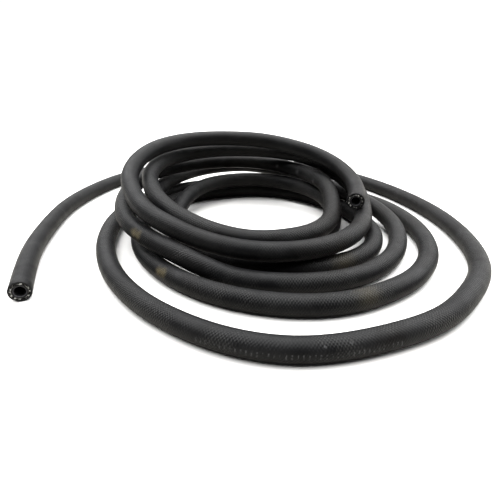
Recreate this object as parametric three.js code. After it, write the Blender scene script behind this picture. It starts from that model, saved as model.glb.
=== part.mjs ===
// A length of quarter-inch fuel hose, cut square at both ends and lying in a loose coil.
// It has three bonded layers: an inner tube, a textile braid and an outer cover.
// Millimetres, Z up. The origin is the middle of the coil's footprint, on the floor.
import * as THREE from 'three';

// Walls of the hose, from the bore outwards
const boreDiameter = 6.35;
const innerTubeWall = 1.175;
const braidWall = 0.8;
const coverWall = 1;

// A hair's gap between the bonded layers, so that their facets don't cross on a bend
const bondGap = 0.1;

// Sides of the round section, and the turn that puts a corner lowest where the hose lies flat
const sectionSides = 10;
const sectionTurn = -10.33;

// The coil is turned so that its lower end looks along -Y, and centred on its footprint
const coilTurn = -21;
const footprintMiddle = { x: 2.26, y: 25.92 };

// Route of the hose's centreline, chosen by hand: x and y across the floor, and the rise over
// a stretch that lies on the floor. Each turn starts at the right and runs round the back,
// the left and the front. The hose starts at its upper end.
const topTurn = [
  [76.5, -13.5, 24.5], [80.8, 2, 26], [81.5, 18.5, 29.3], [77, 34, 34], [66.5, 48, 39.8],
  [47.5, 60.5, 46], [12, 73, 52], [-27, 79, 53], [-57, 67.5, 53], [-77.5, 47, 50.8],
  [-87.5, 22, 46], [-88.5, -1, 39.5], [-80.5, -23, 32.5], [-68, -43, 28], [-51, -56, 23],
  [-31, -65, 17.5], [-6, -72, 14], [18, -73.5, 13], [43, -67.5, 13], [63, -52.5, 13],
  [78.5, -28, 12.8],
];
const innerTurn = [
  [86.5, 0, 13.5], [88.5, 26, 18.8], [79, 47, 26], [63, 64.5, 34], [43, 78, 38.2],
  [14, 89, 40], [-24, 90.5, 40.4], [-54, 78.5, 39.8], [-74, 57, 38], [-80, 33, 35],
  [-76, 8, 31.8], [-65, -17, 27], [-46, -37, 21], [-23, -48.5, 15.5], [-1, -54.5, 13],
  [21, -53.5, 12.9], [42, -43, 13],
];
const thirdTurn = [
  [57, -22, 13.5], [63.5, 7, 17.8], [62.5, 36, 23], [51.5, 61.5, 24.8], [36.5, 82, 25.4],
  [13, 98.5, 26.2], [-14, 104.5, 26.4], [-43, 98.5, 26.5], [-69, 81, 26.7], [-87, 55, 26.3],
  [-96, 23, 23], [-94, -7, 20], [-84, -33, 17], [-67, -53, 14], [-47, -69.5, 11.5],
  [-30, -78.5, 7], [-12, -83, 1.5], [6, -87, 0], [29, -89, 0], [53, -85, 0],
  [73, -75, 0], [92, -56, 0], [105, -31, 0.5],
];
const fourthTurn = [
  [110.5, -2, 2], [103.5, 25, 6], [85, 48, 10.8], [65, 74, 12.9], [36, 117, 13.3],
  [-8, 134, 15], [-46, 122, 14.5], [-70, 94, 13.8], [-80, 60, 13.7], [-78, 30, 14],
  [-68, 3, 14.5], [-52, -18, 13.5], [-32, -31, 9], [-9, -37.5, 2], [14, -38.5, 0],
  [36, -33, 0], [54.5, -19, 0],
];
const fifthTurn = [
  [65, 3, 1], [67.5, 25, 6.5], [62, 45.5, 10], [46, 66.5, 12], [16, 86.5, 12.2],
  [-15, 86, 12.5], [-41, 67, 12.7], [-54.5, 40, 10], [-59, 11, 3.5], [-55, -15, 0],
  [-45, -34, 0], [-28, -50, 0], [-5, -62, 0], [19, -69, 0], [43, -68, 0],
  [66, -58.5, 0], [83, -41, 0],
];
const sixthTurn = [
  [91.5, -16, 0], [89.5, 13, 0], [80, 41, 0], [66, 64, 0], [45, 83, 0],
  [13, 94.5, 0], [-18, 94, 0], [-48, 81.5, 0], [-73, 55, 0], [-84, 20, 0],
  [-82, -15, 0], [-72, -46, 0], [-53, -73.5, 0], [-28, -94.5, 0], [-2, -106.5, 0],
  [26, -111.5, 0], [51, -109, 0], [75, -99, 0], [99, -81, 0], [118, -53, 0],
];
const outerTurn = [
  [127, -18, 0], [125, 18, 0], [113, 52, 0], [88, 82, 0], [51, 105, 0],
  [6, 115, 0], [-36, 112, 0], [-73, 93, 0], [-98, 60, 0], [-108, 19, 0],
  [-105, -20, 0], [-95, -53, 0], [-80, -82, 0], [-59, -108, 0], [-37, -126, 0],
  [-16, -138, 0], [5, -145, 0], [24, -147, 0], [46, -144, 0], [71, -136, 0],
  [97, -123, 0], [120, -102, 0], [142, -72, 0], [154, -33, 0], [156, 18, 0],
  [145, 69, 0],
];
const looseTail = [
  [122, 119, 0], [90, 162, 0], [46, 190, 0], [-8, 201, 0], [-62, 195, 0],
  [-109, 170, 0], [-140, 131, 0], [-156, 86, 0], [-161, 44, 0], [-157, 0, 0],
  [-149, -41, 0], [-139, -72, 0], [-129, -98, 0],
];
const routePoints = [
  ...topTurn, ...innerTurn, ...thirdTurn, ...fourthTurn,
  ...fifthTurn, ...sixthTurn, ...outerTurn, ...looseTail,
];

// Radii of the surfaces, worked out from the walls
const boreRadius = boreDiameter / 2;
const innerTubeRadius = boreRadius + innerTubeWall;
const braidInnerRadius = innerTubeRadius + bondGap;
const braidRadius = braidInnerRadius + braidWall;
const coverInnerRadius = braidRadius + bondGap;
const coverRadius = coverInnerRadius + coverWall;

// A smooth curve through the route's points. Equal steps of its length number are equal
// counts of points, so the tight turns get short steps and the wide ones long steps.
class HoseRoute extends THREE.CatmullRomCurve3 {
  getUtoTmapping(u) {
    return u;
  }
}

function hoseRoute() {
  const centreline = routePoints.map(([x, y, rise]) => new THREE.Vector3(x, y, rise + coverRadius));
  return new HoseRoute(centreline, false, 'centripetal');
}

// The corners of the round section at one radius
function sectionCorners(radius) {
  const corners = [];
  for (let side = 0; side < sectionSides; side += 1) {
    const angle = THREE.MathUtils.degToRad(sectionTurn + (side * 360) / sectionSides);
    corners.push(new THREE.Vector2(radius * Math.cos(angle), radius * Math.sin(angle)));
  }
  return corners;
}

// One layer of the hose: a ring-shaped section carried along the whole route
function hoseLayer(name, innerRadius, outerRadius, material) {
  const section = new THREE.Shape(sectionCorners(outerRadius));
  section.holes.push(new THREE.Path(sectionCorners(innerRadius)));
  const geometry = new THREE.ExtrudeGeometry(section, {
    steps: routePoints.length - 1,
    extrudePath: hoseRoute(),
    bevelEnabled: false,
  });
  const layer = new THREE.Mesh(geometry, material);
  layer.name = name;
  return layer;
}

const blackRubber = new THREE.MeshStandardMaterial({ color: 0x26272a, roughness: 0.6, metalness: 0 });
const paleYarn = new THREE.MeshStandardMaterial({ color: 0xb9b4a6, roughness: 0.95, metalness: 0 });
const linerRubber = new THREE.MeshStandardMaterial({ color: 0x1c1c1e, roughness: 0.5, metalness: 0 });

const hose = new THREE.Group();
hose.add(hoseLayer('inner_tube', boreRadius, innerTubeRadius, linerRubber));
hose.add(hoseLayer('textile_braid', braidInnerRadius, braidRadius, paleYarn));
hose.add(hoseLayer('outer_cover', coverInnerRadius, coverRadius, blackRubber));
hose.rotation.z = THREE.MathUtils.degToRad(coilTurn);
hose.position.set(-footprintMiddle.x, -footprintMiddle.y, 0);

export default hose;
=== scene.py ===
# A length of quarter-inch fuel hose lying in a loose coil: outer cover, textile braid, inner tube.
# Metres, Z up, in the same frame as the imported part.
import math
import random

import bmesh
import bpy
from mathutils import Matrix, Vector


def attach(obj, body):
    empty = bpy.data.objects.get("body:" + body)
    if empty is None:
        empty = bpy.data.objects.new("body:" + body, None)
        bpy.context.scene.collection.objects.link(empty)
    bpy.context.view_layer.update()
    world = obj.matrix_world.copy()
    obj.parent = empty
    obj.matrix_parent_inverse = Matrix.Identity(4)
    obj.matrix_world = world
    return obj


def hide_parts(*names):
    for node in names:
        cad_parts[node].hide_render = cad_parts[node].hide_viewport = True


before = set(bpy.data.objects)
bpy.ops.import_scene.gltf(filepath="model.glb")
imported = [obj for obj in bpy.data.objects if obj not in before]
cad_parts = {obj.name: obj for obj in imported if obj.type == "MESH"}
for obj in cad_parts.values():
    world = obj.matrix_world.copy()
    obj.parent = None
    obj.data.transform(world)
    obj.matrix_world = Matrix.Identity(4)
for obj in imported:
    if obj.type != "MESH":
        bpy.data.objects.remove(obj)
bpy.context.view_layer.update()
scene = bpy.context.scene

# The camera stands low in front of the coil and looks down across it.
cameraSetup = {
    "place": (-0.10619, -0.29666, 0.12435),
    "tilt": 64.4,  # degrees, 90 is level
    "turn": -21.0,  # degrees
    "lens": 28.8,
    "sensor": 36.0,
    "nearest": 0.005,
}

# The hose from its bore outwards. The gap lies between one layer and the next.
hose = {
    "boreRadius": 0.003175,
    "innerTubeWall": 0.001175,
    "braidWall": 0.0008,
    "coverWall": 0.001,
    "bondGap": 0.0001,
    "innerTubeSides": 32,
    "braidSides": 24,
    "coverSides": 36,
    "innerTubeRecess": 0.00005,  # how far its cut face lies behind the cover's
    "braidRecess": 0.0002,
    "cutBevel": 0.00014,
    "boreEdge": 0.00028,  # the softened edge of the bore
    "coilTurn": -21.0,  # degrees
    "footprintMiddle": (0.00226, 0.02592),
    "curveParts": 16,  # between one point of the route and the next
    "routeStep": 0.006,
    "easedFrom": 3.75,  # metres: the outer turn's bends are evened out from here on
    "easePasses": 60,
    "easeIn": 0.5,  # how far a pass pulls each point towards the line between its neighbours
    "easeOut": -0.53,  # and how far the next one pushes it back
    "easeFade": 12,  # steps over which this begins and ends
    "mergeDistance": 0.000001,
}

# The route of the hose's centreline: x and y across the floor, and the rise over a stretch
# that lies on the floor. Each turn starts at the right and runs round the back.
topTurn = [
    (0.0765, -0.0135, 0.0245), (0.0808, 0.002, 0.026), (0.0815, 0.0185, 0.0293),
    (0.077, 0.034, 0.034), (0.0665, 0.048, 0.0398), (0.0475, 0.0605, 0.046), (0.012, 0.073, 0.052),
    (-0.027, 0.079, 0.053), (-0.057, 0.0675, 0.053), (-0.0775, 0.047, 0.0508),
    (-0.0875, 0.022, 0.046), (-0.0885, -0.001, 0.0395), (-0.0805, -0.023, 0.0325),
    (-0.068, -0.043, 0.028), (-0.051, -0.056, 0.023), (-0.031, -0.065, 0.0175),
    (-0.006, -0.072, 0.014), (0.018, -0.0735, 0.013), (0.043, -0.0675, 0.013),
    (0.063, -0.0525, 0.013), (0.0785, -0.028, 0.0128),
]
innerTurn = [
    (0.0865, 0, 0.0135), (0.0885, 0.026, 0.0188), (0.079, 0.047, 0.026), (0.063, 0.0645, 0.034),
    (0.043, 0.078, 0.0382), (0.014, 0.089, 0.04), (-0.024, 0.0905, 0.0404),
    (-0.054, 0.0785, 0.0398), (-0.074, 0.057, 0.038), (-0.08, 0.033, 0.035),
    (-0.076, 0.008, 0.0318), (-0.065, -0.017, 0.027), (-0.046, -0.037, 0.021),
    (-0.023, -0.0485, 0.0155), (-0.001, -0.0545, 0.013), (0.021, -0.0535, 0.0129),
    (0.042, -0.043, 0.013),
]
thirdTurn = [
    (0.057, -0.022, 0.0135), (0.0635, 0.007, 0.0178), (0.0625, 0.036, 0.023),
    (0.0515, 0.0615, 0.0248), (0.0365, 0.082, 0.0254), (0.013, 0.0985, 0.0262),
    (-0.014, 0.1045, 0.0264), (-0.043, 0.0985, 0.0265), (-0.069, 0.081, 0.0267),
    (-0.087, 0.055, 0.0263), (-0.096, 0.023, 0.023), (-0.094, -0.007, 0.02),
    (-0.084, -0.033, 0.017), (-0.067, -0.053, 0.014), (-0.047, -0.0695, 0.0115),
    (-0.03, -0.0785, 0.007), (-0.012, -0.083, 0.0015), (0.006, -0.087, 0), (0.029, -0.089, 0),
    (0.053, -0.085, 0), (0.073, -0.075, 0), (0.092, -0.056, 0), (0.105, -0.031, 0.0005),
]
fourthTurn = [
    (0.1105, -0.002, 0.002), (0.1035, 0.025, 0.006), (0.085, 0.048, 0.0108),
    (0.065, 0.074, 0.0129), (0.036, 0.117, 0.0133), (-0.008, 0.134, 0.015),
    (-0.046, 0.122, 0.0145), (-0.07, 0.094, 0.0138), (-0.08, 0.06, 0.0137), (-0.078, 0.03, 0.014),
    (-0.068, 0.003, 0.0145), (-0.052, -0.018, 0.0135), (-0.032, -0.031, 0.009),
    (-0.009, -0.0375, 0.002), (0.014, -0.0385, 0), (0.036, -0.033, 0), (0.0545, -0.019, 0),
]
fifthTurn = [
    (0.065, 0.003, 0.001), (0.0675, 0.025, 0.0065), (0.062, 0.0455, 0.01), (0.046, 0.0665, 0.012),
    (0.016, 0.0865, 0.0122), (-0.015, 0.086, 0.0125), (-0.041, 0.067, 0.0127),
    (-0.0545, 0.04, 0.01), (-0.059, 0.011, 0.0035), (-0.055, -0.015, 0), (-0.045, -0.034, 0),
    (-0.028, -0.05, 0), (-0.005, -0.062, 0), (0.019, -0.069, 0), (0.043, -0.068, 0),
    (0.066, -0.0585, 0), (0.083, -0.041, 0),
]
sixthTurn = [
    (0.0915, -0.016, 0), (0.0895, 0.013, 0), (0.08, 0.041, 0), (0.066, 0.064, 0),
    (0.045, 0.083, 0), (0.013, 0.0945, 0), (-0.018, 0.094, 0), (-0.048, 0.0815, 0),
    (-0.073, 0.055, 0), (-0.084, 0.02, 0), (-0.082, -0.015, 0), (-0.072, -0.046, 0),
    (-0.053, -0.0735, 0), (-0.028, -0.0945, 0), (-0.002, -0.1065, 0), (0.026, -0.1115, 0),
    (0.051, -0.109, 0), (0.075, -0.099, 0), (0.099, -0.081, 0), (0.118, -0.053, 0),
]
outerTurn = [
    (0.127, -0.018, 0), (0.125, 0.018, 0), (0.113, 0.052, 0), (0.088, 0.082, 0), (0.051, 0.105, 0),
    (0.006, 0.115, 0), (-0.036, 0.112, 0), (-0.073, 0.093, 0), (-0.098, 0.06, 0),
    (-0.108, 0.019, 0), (-0.105, -0.02, 0), (-0.095, -0.053, 0), (-0.08, -0.082, 0),
    (-0.059, -0.108, 0), (-0.037, -0.126, 0), (-0.016, -0.138, 0), (0.005, -0.145, 0),
    (0.024, -0.147, 0), (0.046, -0.144, 0), (0.071, -0.136, 0), (0.097, -0.123, 0),
    (0.12, -0.102, 0), (0.142, -0.072, 0), (0.154, -0.033, 0), (0.156, 0.018, 0),
    (0.145, 0.069, 0),
]
looseTail = [
    (0.122, 0.119, 0), (0.09, 0.162, 0), (0.046, 0.19, 0), (-0.008, 0.201, 0), (-0.062, 0.195, 0),
    (-0.109, 0.17, 0), (-0.14, 0.131, 0), (-0.156, 0.086, 0), (-0.161, 0.044, 0), (-0.157, 0, 0),
    (-0.149, -0.041, 0), (-0.139, -0.072, 0), (-0.129, -0.098, 0),
]
routePoints = topTurn + innerTurn + thirdTurn + fourthTurn
routePoints += fifthTurn + sixthTurn + outerTurn + looseTail

innerTubeRadius = hose["boreRadius"] + hose["innerTubeWall"]
braidInnerRadius = innerTubeRadius + hose["bondGap"]
braidRadius = braidInnerRadius + hose["braidWall"]
coverInnerRadius = braidRadius + hose["bondGap"]
coverRadius = coverInnerRadius + hose["coverWall"]


def setCamera(setup):
    data = bpy.data.cameras.new("camera")
    data.lens = setup["lens"]
    data.sensor_width = setup["sensor"]
    data.clip_start = setup["nearest"]
    camera = bpy.data.objects.new("camera", data)
    camera.location = setup["place"]
    camera.rotation_euler = (math.radians(setup["tilt"]), 0, math.radians(setup["turn"]))
    scene.collection.objects.link(camera)
    scene.camera = camera


def coiledPoints(points):
    # The route's points, lifted to the hose's middle, turned and centred as the part is
    turn = Matrix.Rotation(math.radians(hose["coilTurn"]), 3, "Z")
    middle = Vector((*hose["footprintMiddle"], 0))
    return [turn @ Vector((x, y, rise + coverRadius)) - middle for x, y, rise in points]


def knotStep(a, b):
    return math.sqrt((b - a).length)


def curveBetween(p0, p1, p2, p3, share):
    # One point of the smooth curve that runs from p1 to p2, at that share of the way
    t1 = knotStep(p0, p1)
    t2 = t1 + knotStep(p1, p2)
    t3 = t2 + knotStep(p2, p3)
    t = t1 + (t2 - t1) * share
    a1 = p0.lerp(p1, t / t1)
    a2 = p1.lerp(p2, (t - t1) / (t2 - t1))
    a3 = p2.lerp(p3, (t - t2) / (t3 - t2))
    b1 = a1.lerp(a2, t / t2)
    b2 = a2.lerp(a3, (t - t1) / (t3 - t1))
    return b1.lerp(b2, (t - t1) / (t2 - t1))


def smoothRoute(points):
    # A smooth curve through the points, then points on it at even steps of its length
    before = points[0] * 2 - points[1]
    after = points[-1] * 2 - points[-2]
    chain = [before] + points + [after]
    parts = hose["curveParts"]
    fine = []
    for number in range(1, len(chain) - 2):
        for part in range(parts):
            fine.append(curveBetween(*chain[number - 1 : number + 3], part / parts))
    fine.append(points[-1])
    reach = [0.0]
    for a, b in zip(fine, fine[1:]):
        reach.append(reach[-1] + (b - a).length)
    steps = round(reach[-1] / hose["routeStep"])
    route = []
    place = 0
    for step in range(steps + 1):
        wanted = reach[-1] * step / steps
        while place < len(fine) - 2 and reach[place + 1] < wanted:
            place += 1
        share = (wanted - reach[place]) / (reach[place + 1] - reach[place])
        route.append(fine[place].lerp(fine[place + 1], share))
    return route, reach[-1]


def easeRoute(route):
    # Evens out the last stretch's bends. Every second pass pushes the curve back out, so that
    # it keeps its width.
    first = round(hose["easedFrom"] / hose["routeStep"])
    last = len(route) - 1
    eased = list(route)
    for number in range(hose["easePasses"] * 2):
        share = hose["easeOut"] if number % 2 else hose["easeIn"]
        before = list(eased)
        for step in range(first, last):
            fade = min(1.0, (step - first) / hose["easeFade"], (last - step) / hose["easeFade"])
            middle = (before[step - 1] + before[step + 1]) / 2
            eased[step] = before[step] + (middle - before[step]) * share * fade
    return eased


def routeFrames(route):
    # At each point: the point, the hose's direction, and two directions across it that don't twist
    tangents = []
    for number in range(len(route)):
        ahead = route[min(number + 1, len(route) - 1)]
        behind = route[max(number - 1, 0)]
        tangents.append((ahead - behind).normalized())
    across = Vector((0, 0, 1))
    frames = []
    for number, tangent in enumerate(tangents):
        if number:
            across = tangents[number - 1].rotation_difference(tangent) @ across
        across = (across - tangent * across.dot(tangent)).normalized()
        frames.append((route[number], tangent, across, tangent.cross(across)))
    return frames


setCamera(cameraSetup)
route, hoseLength = smoothRoute(coiledPoints(routePoints))
route = easeRoute(route)
frames = routeFrames(route)
ringStep = hoseLength / (len(route) - 1)
print("route: %.3f m in %d rings" % (hoseLength, len(route)))


# Which of a layer's three finishes each kind of surface gets
finishNumbers = {"outside": 0, "inside": 0, "cut": 1, "bevel": 1, "edge": 2}


def tubeRings(outer, inner, recess, boreEdge):
    # Every ring of one layer as (route number, radius, shift along the hose, kind of surface),
    # along the outside, over the cut end, back along the bore and over the other end
    last = len(frames) - 1
    bevel = hose["cutBevel"]
    rings = [(0, outer - bevel, recess, "bevel"), (0, outer, recess + bevel, "outside")]
    rings += [(number, outer, 0, "outside") for number in range(1, last)]
    rings += [(last, outer, -recess - bevel, "bevel"), (last, outer - bevel, -recess, "cut")]
    rings += [(last, inner + boreEdge, -recess, "edge"), (last, inner, -recess - boreEdge, "inside")]
    rings += [(number, inner, 0, "inside") for number in range(last - 1, 0, -1)]
    rings += [(0, inner, recess + boreEdge, "edge"), (0, inner + boreEdge, recess, "cut")]
    return rings + rings[:1]


def onLayer(ring, turns):
    # A point of a layer: the ring tells how far along and out, the turns how far round
    number, radius, shift = ring[:3]
    point, tangent, across, sideways = frames[number]
    angle = 2 * math.pi * turns
    out = across * math.cos(angle) + sideways * math.sin(angle)
    return point + tangent * shift + out * radius


def finishMesh(name, mesh):
    data = bpy.data.meshes.new(name)
    mesh.to_mesh(data)
    mesh.free()
    piece = bpy.data.objects.new(name, data)
    scene.collection.objects.link(piece)
    return piece


def sweepLayer(name, outer, inner, sides, recess=0, boreEdge=hose["cutBevel"]):
    # One layer of the hose: a flat sheet of quads rolled up along the route into a pipe's wall.
    # Its UV holds the metres along the hose and the turns round it.
    rings = tubeRings(outer, inner, recess, boreEdge)
    mesh = bmesh.new()
    uv = mesh.loops.layers.uv.new("hoseUv")
    bmesh.ops.create_grid(mesh, x_segments=len(rings) - 1, y_segments=sides, size=1)
    for face in mesh.faces:
        rows = [round((loop.vert.co.x + 1) / 2 * (len(rings) - 1)) for loop in face.loops]
        for loop, row in zip(face.loops, rows):
            loop[uv].uv = (rings[row][0] * ringStep, (loop.vert.co.y + 1) / 2)
        kind = rings[min(rows)][3]
        face.smooth = kind != "cut"
        face.material_index = finishNumbers[kind]
    for corner in mesh.verts:
        ring = rings[round((corner.co.x + 1) / 2 * (len(rings) - 1))]
        corner.co = onLayer(ring, (corner.co.y + 1) / 2)
    bmesh.ops.remove_doubles(mesh, verts=mesh.verts, dist=hose["mergeDistance"])
    bmesh.ops.recalc_face_normals(mesh, faces=mesh.faces)
    return finishMesh(name, mesh)


def cutEnds():
    # The two cut faces: the point in the middle, the way out of the hose, and two ways across
    ends = []
    for number, sign in ((0, -1), (len(frames) - 1, 1)):
        point, tangent, across, sideways = frames[number]
        ends.append((point, tangent * sign, across, sideways))
    return ends


# Ends of yarn that stick out of the braid where the hose was cut
yarnEnds = {
    "seed": 11,
    "clumps": 13,  # at each end
    "stray": 0.35,  # how far a clump is off its even place, in clumps
    "strands": (4, 8),  # in a clump
    "radius": (0.00458, 0.00518),
    "spread": 0.085,  # radians a clump takes up on either side
    "lean": 0.55,  # how far a whole clump leans over
    "flare": (-0.3, 0.1),  # how far one strand leans inwards or outwards
    "length": (0.0003, 0.0009),
    "sunk": 0.00032,  # how deep a strand is rooted below the cover's cut face
    "thickness": 0.00022,
    "thicker": (0.7, 1.2),  # times the thickness
    "taper": 0.6,
    "sides": 6,
}


def addYarnEnds(piece):
    dice = random.Random(yarnEnds["seed"])
    mesh = bmesh.new()
    mesh.from_mesh(piece.data)
    for point, out, across, sideways in cutEnds():
        for clump in range(yarnEnds["clumps"]):
            stray = dice.uniform(-yarnEnds["stray"], yarnEnds["stray"])
            middleAngle = 2 * math.pi * (clump + stray) / yarnEnds["clumps"]
            lean = across * dice.uniform(-1, 1) + sideways * dice.uniform(-1, 1)
            for strand in range(dice.randint(*yarnEnds["strands"])):
                angle = middleAngle + dice.uniform(-1, 1) * yarnEnds["spread"]
                outward = across * math.cos(angle) + sideways * math.sin(angle)
                flare = outward * dice.uniform(*yarnEnds["flare"])
                way = (out + lean * yarnEnds["lean"] + flare).normalized()
                length = dice.uniform(*yarnEnds["length"])
                thickness = yarnEnds["thickness"] * dice.uniform(*yarnEnds["thicker"])
                root = point + outward * dice.uniform(*yarnEnds["radius"])
                middle = root + way * (length * 0.5 - yarnEnds["sunk"])
                turn = way.to_track_quat("Z", "Y").to_matrix().to_4x4()
                tuft = bmesh.ops.create_cone(
                    mesh,
                    cap_ends=True,
                    segments=yarnEnds["sides"],
                    radius1=thickness,
                    radius2=thickness * yarnEnds["taper"],
                    depth=length,
                    matrix=Matrix.Translation(middle) @ turn,
                )
                for corner in tuft["verts"]:
                    for face in corner.link_faces:
                        face.material_index = 2
    mesh.to_mesh(piece.data)
    mesh.free()
    piece.data.update()


outerCover = sweepLayer("hose_cover", coverRadius, coverInnerRadius, hose["coverSides"])
textileBraid = sweepLayer(
    "hose_braid",
    braidRadius,
    braidInnerRadius,
    hose["braidSides"],
    recess=hose["braidRecess"],
)
innerTube = sweepLayer(
    "hose_inner_tube",
    innerTubeRadius,
    hose["boreRadius"],
    hose["innerTubeSides"],
    recess=hose["innerTubeRecess"],
    boreEdge=hose["boreEdge"],
)
addYarnEnds(textileBraid)
for piece, node in (
    (outerCover, "outer_cover"),
    (textileBraid, "textile_braid"),
    (innerTube, "inner_tube"),
):
    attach(piece, "root")
    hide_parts(node)
print("hose: three layers made")


def newGroup(name, inputs, outputs):
    # An empty shader group with named sockets, each a (name, kind, value)
    tree = bpy.data.node_groups.new(name, "ShaderNodeTree")
    for title, kind, value in inputs:
        socket = tree.interface.new_socket(title, in_out="INPUT", socket_type=kind)
        socket.default_value = value
    for title, kind in outputs:
        tree.interface.new_socket(title, in_out="OUTPUT", socket_type=kind)
    return tree, tree.nodes.new("NodeGroupInput"), tree.nodes.new("NodeGroupOutput")


def feedSocket(tree, socket, value):
    # A socket takes a link from another socket, or a plain value
    if isinstance(value, bpy.types.NodeSocket):
        tree.links.new(value, socket)
    elif value is not None:
        socket.default_value = value


def mathNode(tree, operation, first, second=None):
    node = tree.nodes.new("ShaderNodeMath")
    node.operation = operation
    feedSocket(tree, node.inputs[0], first)
    feedSocket(tree, node.inputs[1], second)
    return node.outputs[0]


def times(tree, first, second):
    return mathNode(tree, "MULTIPLY", first, second)


def noiseNode(tree, vector, scale, detail, roughness):
    node = tree.nodes.new("ShaderNodeTexNoise")
    node.inputs["Scale"].default_value = scale
    node.inputs["Detail"].default_value = detail
    node.inputs["Roughness"].default_value = roughness
    tree.links.new(vector, node.inputs["Vector"])
    return node.outputs["Fac"]


def rangeNode(tree, value, low, high, bottom=0.0, top=1.0):
    # Turns values from low to high smoothly into values from bottom to top
    node = tree.nodes.new("ShaderNodeMapRange")
    node.interpolation_type = "SMOOTHSTEP"
    tree.links.new(value, node.inputs["Value"])
    limits = {"From Min": low, "From Max": high, "To Min": bottom, "To Max": top}
    for title, limit in limits.items():
        node.inputs[title].default_value = limit
    return node.outputs["Result"]


def mixColour(tree, mask, under, over):
    node = tree.nodes.new("ShaderNodeMix")
    node.data_type = "RGBA"
    for number, value in ((0, mask), (6, under), (7, over)):
        feedSocket(tree, node.inputs[number], value)
    return node.outputs[2]


def bumpNode(tree, height, strength, distance, normal=None):
    node = tree.nodes.new("ShaderNodeBump")
    node.inputs["Strength"].default_value = strength
    node.inputs["Distance"].default_value = distance
    tree.links.new(height, node.inputs["Height"])
    if normal is not None:
        tree.links.new(normal, node.inputs["Normal"])
    return node.outputs["Normal"]


def groupNode(tree, group, **values):
    node = tree.nodes.new("ShaderNodeGroup")
    node.node_tree = group
    for title, value in values.items():
        feedSocket(tree, node.inputs[title], value)
    return node.outputs[0]


def newMaterial(name, specular, roughness=0.5):
    material = bpy.data.materials.new(name)
    material.use_nodes = True
    tree = material.node_tree
    shader = tree.nodes["Principled BSDF"]
    shader.inputs["Roughness"].default_value = roughness
    shader.inputs["Specular IOR Level"].default_value = specular
    return material, tree, shader


def objectPlace(tree):
    return tree.nodes.new("ShaderNodeTexCoord").outputs["Object"]


def uvParts(tree):
    # Metres along the hose, and turns round it
    uvMap = tree.nodes.new("ShaderNodeUVMap")
    uvMap.uv_map = "hoseUv"
    split = tree.nodes.new("ShaderNodeSeparateXYZ")
    tree.links.new(uvMap.outputs["UV"], split.inputs["Vector"])
    return split.outputs["X"], split.outputs["Y"]


# Below, a noise is given by its scale, detail and roughness, and a range by the two values that
# come in and, where it has four numbers, the two that go out.
imprintWander = {
    "noise": (320, 2, 0.5),
    "threads": 1.1,  # how far the threads stray
}
spotEdge = {
    "noise": (420, 4, 0.65),
    "ragged": 0.8,
    "range": (0.4, 1.4, 1.0, 0.0),  # from the middle of the mark outwards, in sizes
}


def makeClothImprint():
    # Two sets of slanting threads that cross, as the cloth wrap leaves them in the rubber
    tree, given, result = newGroup(
        "clothImprint",
        [
            ("Vector", "NodeSocketVector", (0, 0, 0)),
            ("Along", "NodeSocketFloat", 0.0),
            ("Around", "NodeSocketFloat", 0.0),
            ("Strands", "NodeSocketFloat", 12.0),
            ("PerMetre", "NodeSocketFloat", 480.0),
            ("Cross", "NodeSocketFloat", 0.45),
        ],
        [("Height", "NodeSocketFloat")],
    )
    along = times(tree, given.outputs["Along"], given.outputs["PerMetre"])
    around = times(tree, given.outputs["Around"], given.outputs["Strands"])
    wander = noiseNode(tree, given.outputs["Vector"], *imprintWander["noise"])
    around = mathNode(tree, "ADD", around, times(tree, wander, imprintWander["threads"]))
    sets = []
    for operation in ("ADD", "SUBTRACT"):
        phase = mathNode(tree, operation, along, around)
        wave = mathNode(tree, "SINE", times(tree, phase, 2 * math.pi))
        sets.append(times(tree, mathNode(tree, "ADD", wave, 1.0), 0.5))
    second = times(tree, sets[1], given.outputs["Cross"])
    total = mathNode(tree, "ADD", sets[0], second)
    share = mathNode(tree, "ADD", given.outputs["Cross"], 1.0)
    tree.links.new(mathNode(tree, "DIVIDE", total, share), result.inputs["Height"])
    return tree


def makeRubMarkAndHighlightSpot():
    # A rubbed, dusty or painted-highlight spot with a ragged edge, round a point of the object
    tree, given, result = newGroup(
        "rubMarkAndHighlightSpot",
        [
            ("Vector", "NodeSocketVector", (0, 0, 0)),
            ("Place", "NodeSocketVector", (0, 0, 0)),
            ("Size", "NodeSocketFloat", 0.008),
        ],
        [("Mask", "NodeSocketFloat")],
    )
    gap = tree.nodes.new("ShaderNodeVectorMath")
    gap.operation = "DISTANCE"
    tree.links.new(given.outputs["Vector"], gap.inputs[0])
    tree.links.new(given.outputs["Place"], gap.inputs[1])
    share = mathNode(tree, "DIVIDE", gap.outputs["Value"], given.outputs["Size"])
    ragged = noiseNode(tree, given.outputs["Vector"], *spotEdge["noise"])
    spread = mathNode(tree, "ADD", share, times(tree, ragged, spotEdge["ragged"]))
    mask = rangeNode(tree, spread, *spotEdge["range"])
    tree.links.new(mask, result.inputs["Mask"])
    return tree


clothImprint = makeClothImprint()
rubMarkAndHighlightSpot = makeRubMarkAndHighlightSpot()
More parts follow.
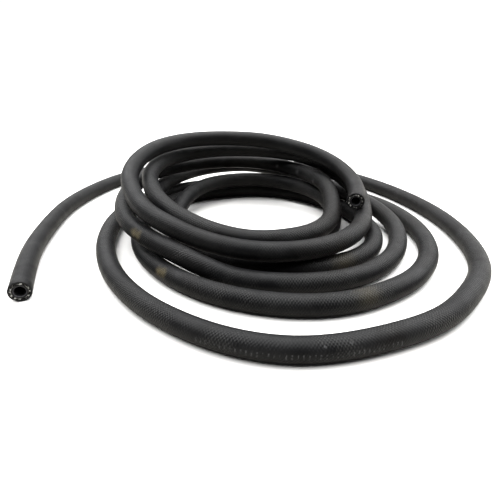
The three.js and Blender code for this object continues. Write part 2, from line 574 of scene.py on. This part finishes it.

# Black rubber of the outer cover: its colours, its imprint and how it is worn, with a painted glint
# lightening its raised threads
coverFinish = {
    "deep": (0.0048, 0.0049, 0.0053, 1),
    "warm": (0.0062, 0.0055, 0.0052, 1),
    "worn": (0.0095, 0.0096, 0.0101, 1),
    # the dust colour, also painted on the raised threads as a glint
    "dustAndGlint": (0.032, 0.032, 0.031, 1),
    "tan": (0.13, 0.108, 0.062, 1),
    "pale": (0.12, 0.12, 0.125, 1),
    "warmNoise": (9, 2, 0.5),
    "warmRange": (0.4, 0.65),
    "cloudNoise": (38, 4, 0.6),
    "wornRange": (0.35, 0.7),
    "speckNoise": (900, 2, 0.5),
    "dustClouds": (0.5, 0.8),
    "dustSpecks": (0.5, 0.75),
    "dustStrength": 0.4,
    "specular": 0.1,
    "glossNoise": (110, 4, 0.6),
    "roughness": (0.3, 0.7, 0.36, 0.47),
    "strands": 17.0,  # threads round the hose
    "threadsPerMetre": 620.0,
    "cross": 0.8,  # how far the second set of threads shows
    "patchNoise": (26, 3, 0.6),  # where the imprint is deep and where it is faint
    "patchRange": (0.36, 0.58, 0.25, 1.0),
    "grows": (0.3, 0.6, 0.55, 1.0),  # metres along the hose, and the imprint's strength there
    "fades": (4.1, 4.35, 1.0, 0.4),
    "raisedRange": (0.4, 0.85),
    "threadDustAndGlint": 0.6,  # dust on the raised threads, and a painted glint there
    "threadGloss": 0.1,
    "wavyNoise": (60, 2, 0.5),
    "wavy": (0.35, 0.0006),  # strength and depth of the relief, as in the next two
    "imprint": (1.0, 0.0003),
    "grain": (0.3, 0.00005),
    "grainNoise": (2600, 2, 0.6),
}

# Marks that the hose has picked up, and two faint painted warm highlights: place, size and how
# strong
tanMarksAndHighlightTints = (
    ((-0.0922, -0.0492, 0.0233), 0.0052, 0.6),
    ((-0.0886, -0.0525, 0.0226), 0.005, 0.5),
    ((-0.0826, -0.081, 0.0098), 0.0048, 0.55),
    ((-0.0797, -0.084, 0.0094), 0.0046, 0.5),
    # The next two are no marks but painted warm highlights on the upper sides of two front turns
    ((0.0286, -0.1109, 0.0098), 0.014, 0.15),
    ((0.0178, -0.151, 0.0109), 0.012, 0.15),
)
paleMarks = (
    ((0.0604, 0.0193, 0.0322), 0.0034, 0.35),
    ((0.0514, 0.0429, 0.033), 0.0028, 0.35),
    ((0.0632, -0.0051, 0.0301), 0.0028, 0.3),
    ((-0.0135, -0.1807, 0.0111), 0.0012, 0.25),
    ((-0.0258, -0.1786, 0.0108), 0.001, 0.35),
)

# A faint row of plain ticks, low on the outer turn's front
tickRow = {
    "from": 3.79,  # metres along the hose
    "to": 3.885,
    "perMetre": 420.0,
    "width": 0.3,  # of the way from one tick to the next
    "halfHeight": 0.034,  # turns round the hose
    "lookFrom": (-0.05, -0.26, 0.012),
    "strength": 0.4,
    "wornNoise": (700, 3, 0.7),
    "wornRange": (0.42, 0.6),
}


def aroundTowards(distance, point):
    # Where round the hose, in turns, its skin faces that point
    place, tangent, across, sideways = frames[round(distance / ringStep)]
    way = Vector(point) - place
    return (math.atan2(way.dot(sideways), way.dot(across)) / (2 * math.pi)) % 1


def tickMask(tree, along, around):
    centre = aroundTowards((tickRow["from"] + tickRow["to"]) / 2, tickRow["lookFrom"])
    started = mathNode(tree, "GREATER_THAN", along, tickRow["from"])
    ended = mathNode(tree, "LESS_THAN", along, tickRow["to"])
    beat = mathNode(tree, "FRACT", times(tree, along, tickRow["perMetre"]))
    bar = mathNode(tree, "LESS_THAN", beat, tickRow["width"])
    off = mathNode(tree, "ABSOLUTE", mathNode(tree, "SUBTRACT", around, centre))
    band = mathNode(tree, "LESS_THAN", off, tickRow["halfHeight"])
    return times(tree, times(tree, times(tree, started, ended), bar), band)


def coverColour(tree, place, along, around, raised):
    # From the bare rubber upwards: its own shades, dust and a painted glint on the raised threads,
    # more dust, marks with two painted highlight tints among them, and ticks
    finish = coverFinish
    warm = rangeNode(tree, noiseNode(tree, place, *finish["warmNoise"]), *finish["warmRange"])
    colour = mixColour(tree, warm, finish["deep"], finish["warm"])
    cloudy = noiseNode(tree, place, *finish["cloudNoise"])
    colour = mixColour(tree, rangeNode(tree, cloudy, *finish["wornRange"]), colour, finish["worn"])
    # The raised threads get lighter: rubbed dust and a painted glint
    threadDustAndGlintMask = times(tree, raised, finish["threadDustAndGlint"])
    colour = mixColour(tree, threadDustAndGlintMask, colour, finish["dustAndGlint"])
    dusty = rangeNode(tree, cloudy, *finish["dustClouds"])
    speckled = noiseNode(tree, place, *finish["speckNoise"])
    dusty = times(tree, dusty, rangeNode(tree, speckled, *finish["dustSpecks"]))
    colour = mixColour(tree, times(tree, dusty, finish["dustStrength"]), colour, finish["dustAndGlint"])
    for marks, tint in ((tanMarksAndHighlightTints, finish["tan"]), (paleMarks, finish["pale"])):
        for spot, size, strength in marks:
            mask = groupNode(tree, rubMarkAndHighlightSpot, Vector=place, Place=spot, Size=size)
            colour = mixColour(tree, times(tree, mask, strength), colour, tint)
    worn = rangeNode(tree, noiseNode(tree, place, *tickRow["wornNoise"]), *tickRow["wornRange"])
    ticks = times(tree, tickMask(tree, along, around), worn)
    return mixColour(tree, times(tree, ticks, tickRow["strength"]), colour, finish["pale"])


def makeCoverRubber():
    finish = coverFinish
    material, tree, shader = newMaterial("coverRubber", finish["specular"])
    place = objectPlace(tree)
    along, around = uvParts(tree)

    weave = groupNode(
        tree,
        clothImprint,
        Vector=place,
        Along=along,
        Around=around,
        Strands=finish["strands"],
        PerMetre=finish["threadsPerMetre"],
        Cross=finish["cross"],
    )
    patchy = rangeNode(tree, noiseNode(tree, place, *finish["patchNoise"]), *finish["patchRange"])
    begins = rangeNode(tree, along, *finish["grows"])
    ends = rangeNode(tree, along, *finish["fades"])
    pressed = times(tree, weave, times(tree, patchy, times(tree, begins, ends)))
    raised = rangeNode(tree, pressed, *finish["raisedRange"])
    colour = coverColour(tree, place, along, around, raised)
    tree.links.new(colour, shader.inputs["Base Color"])

    rough = rangeNode(tree, noiseNode(tree, place, *finish["glossNoise"]), *finish["roughness"])
    rough = mathNode(tree, "SUBTRACT", rough, times(tree, raised, finish["threadGloss"]))
    tree.links.new(rough, shader.inputs["Roughness"])

    normal = bumpNode(tree, noiseNode(tree, place, *finish["wavyNoise"]), *finish["wavy"])
    normal = bumpNode(tree, pressed, *finish["imprint"], normal)
    normal = bumpNode(tree, noiseNode(tree, place, *finish["grainNoise"]), *finish["grain"], normal)
    tree.links.new(normal, shader.inputs["Normal"])
    return material


# The sawn faces of the rubber: matt, a little greyer, with a torn grain
cutFinish = {
    "specular": 0.35,
    "roughness": 0.8,
    "noise": (1500, 4, 0.65),
    "range": (0.35, 0.7),
    "grain": (0.7, 0.00018),
    "coverCut": ((0.004, 0.004, 0.0045, 1), (0.014, 0.014, 0.015, 1)),  # dark and light
    "linerCut": ((0.005, 0.005, 0.006, 1), (0.02, 0.02, 0.021, 1)),
    "linerEdge": ((0.03, 0.03, 0.034, 1), (0.1, 0.1, 0.11, 1)),  # round the mouth of the bore
}

# Smooth rubber of the bore
linerFinish = {
    "dark": (0.01, 0.01, 0.011, 1),
    "light": (0.02, 0.02, 0.022, 1),
    "specular": 0.4,
    "noise": (260, 3, 0.5),
    "range": (0.3, 0.7),
    "roughness": (0.3, 0.7, 0.42, 0.6),
    "grain": (0.2, 0.0002),
}

# Off-white yarn, rubbed dark in places by the rubber round it. Each use has a dark and a light
# colour, and the range of blotches that lets the light one through.
yarnFinish = {
    "specular": 0.15,
    "roughness": 0.9,
    "blotchNoise": (700, 2, 0.5),
    "fibreNoise": (5200, 3, 0.6),
    "fibreRange": (0.25, 0.75, 0.55, 1.0),
    "fibre": (0.6, 0.00008),
    "braidYarn": ((0.05, 0.048, 0.042, 1), (0.4, 0.385, 0.34, 1), (0.4, 0.6)),
    "braidCut": ((0.005, 0.005, 0.005, 1), (0.1, 0.097, 0.09, 1), (0.5, 0.7)),
    "yarnTuft": ((0.02, 0.02, 0.018, 1), (0.72, 0.72, 0.68, 1), (0.42, 0.56)),
}


def makeCutRubber(name):
    finish = cutFinish
    material, tree, shader = newMaterial(name, finish["specular"], finish["roughness"])
    grain = noiseNode(tree, objectPlace(tree), *finish["noise"])
    colour = mixColour(tree, rangeNode(tree, grain, *finish["range"]), *finish[name])
    tree.links.new(colour, shader.inputs["Base Color"])
    tree.links.new(bumpNode(tree, grain, *finish["grain"]), shader.inputs["Normal"])
    return material


def makeLinerRubber():
    finish = linerFinish
    material, tree, shader = newMaterial("linerRubber", finish["specular"])
    grain = noiseNode(tree, objectPlace(tree), *finish["noise"])
    shade = rangeNode(tree, grain, *finish["range"])
    colour = mixColour(tree, shade, finish["dark"], finish["light"])
    tree.links.new(colour, shader.inputs["Base Color"])
    tree.links.new(rangeNode(tree, grain, *finish["roughness"]), shader.inputs["Roughness"])
    tree.links.new(bumpNode(tree, grain, *finish["grain"]), shader.inputs["Normal"])
    return material


def makeYarn(name):
    finish = yarnFinish
    dark, light, blotches = finish[name]
    material, tree, shader = newMaterial(name, finish["specular"], finish["roughness"])
    place = objectPlace(tree)
    blotch = noiseNode(tree, place, *finish["blotchNoise"])
    fibre = noiseNode(tree, place, *finish["fibreNoise"])
    shade = rangeNode(tree, fibre, *finish["fibreRange"])
    shade = times(tree, shade, rangeNode(tree, blotch, *blotches))
    tree.links.new(mixColour(tree, shade, dark, light), shader.inputs["Base Color"])
    tree.links.new(bumpNode(tree, fibre, *finish["fibre"]), shader.inputs["Normal"])
    return material


coverRubber = makeCoverRubber()
coverCut = makeCutRubber("coverCut")
linerRubber = makeLinerRubber()
linerCut = makeCutRubber("linerCut")
linerEdge = makeCutRubber("linerEdge")
braidYarn = makeYarn("braidYarn")
braidCut = makeYarn("braidCut")
yarnTuft = makeYarn("yarnTuft")
for piece, node, finishes in (
    (outerCover, "outer_cover", (coverRubber, coverCut, coverCut)),
    (textileBraid, "textile_braid", (braidYarn, braidCut, yarnTuft)),
    (innerTube, "inner_tube", (linerRubber, linerCut, linerEdge)),
):
    for finish in finishes:
        piece.data.materials.append(finish)
    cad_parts[node].data.materials[0] = finishes[0]
print("looks: rubber, yarn and cut faces made")

# A pale floor without edges in the picture, under soft studio light
studio = {
    "floorSize": 12.0,
    "floorColour": (0.83, 0.825, 0.81, 1),
    "floorBounce": (0.45, 0.435, 0.4, 1),  # what it throws back up at the hose
    "floorSpecular": 0.1,
    "floorRoughness": 0.9,
    "overhead": 8.2,  # strength of the wide light above
    "overheadAngle": 84.0,  # degrees, how wide it looks from the floor
    "overheadFrom": (-0.12, 0.27, 1),  # above, a little behind and to the left
    "side": 3.2,  # strength of the second light, from the right
    "sideAngle": 62.0,
    "sideFrom": (0.86, 0.02, 0.75),
    "behind": (0.358, 0.934, 0),  # the way that the brighter walls stand
    "surround": (-0.4, 0.8, 0.05, 1.05),  # strength of the walls, from in front to behind
    "surroundSeen": 1.05,  # and where the camera sees them
}


def makeFloor():
    mesh = bmesh.new()
    bmesh.ops.create_grid(mesh, x_segments=2, y_segments=2, size=studio["floorSize"] / 2)
    floor = finishMesh("studio_floor", mesh)
    material, tree, shader = newMaterial(
        "studioFloor",
        studio["floorSpecular"],
        studio["floorRoughness"],
    )
    seen = tree.nodes.new("ShaderNodeLightPath").outputs["Is Camera Ray"]
    colour = mixColour(tree, seen, studio["floorBounce"], studio["floorColour"])
    tree.links.new(colour, shader.inputs["Base Color"])
    floor.data.materials.append(material)


def makeLight(name):
    data = bpy.data.lights.new(name, "SUN")
    data.energy = studio[name]
    data.angle = math.radians(studio[name + "Angle"])
    light = bpy.data.objects.new(name, data)
    light.rotation_euler = Vector(studio[name + "From"]).to_track_quat("Z", "Y").to_euler()
    scene.collection.objects.link(light)


def makeSurround():
    # White walls: bright where they are looked at, softer as a light
    world = bpy.data.worlds.new("surround")
    world.use_nodes = True
    scene.world = world
    tree = world.node_tree
    walls = tree.nodes["Background"]
    walls.inputs["Color"].default_value = (1, 1, 1, 1)
    facing = tree.nodes.new("ShaderNodeVectorMath")
    facing.operation = "DOT_PRODUCT"
    facing.inputs[1].default_value = studio["behind"]
    direction = tree.nodes.new("ShaderNodeTexCoord").outputs["Generated"]
    tree.links.new(direction, facing.inputs[0])
    soft = rangeNode(tree, facing.outputs["Value"], *studio["surround"])
    seen = tree.nodes.new("ShaderNodeLightPath").outputs["Is Camera Ray"]
    strength = mathNode(tree, "MAXIMUM", soft, times(tree, seen, studio["surroundSeen"]))
    tree.links.new(strength, walls.inputs["Strength"])


makeFloor()
makeLight("overhead")
makeLight("side")
makeSurround()
scene.view_settings.view_transform = "Standard"
scene.view_settings.look = "None"
print("studio: floor, light and surround made")
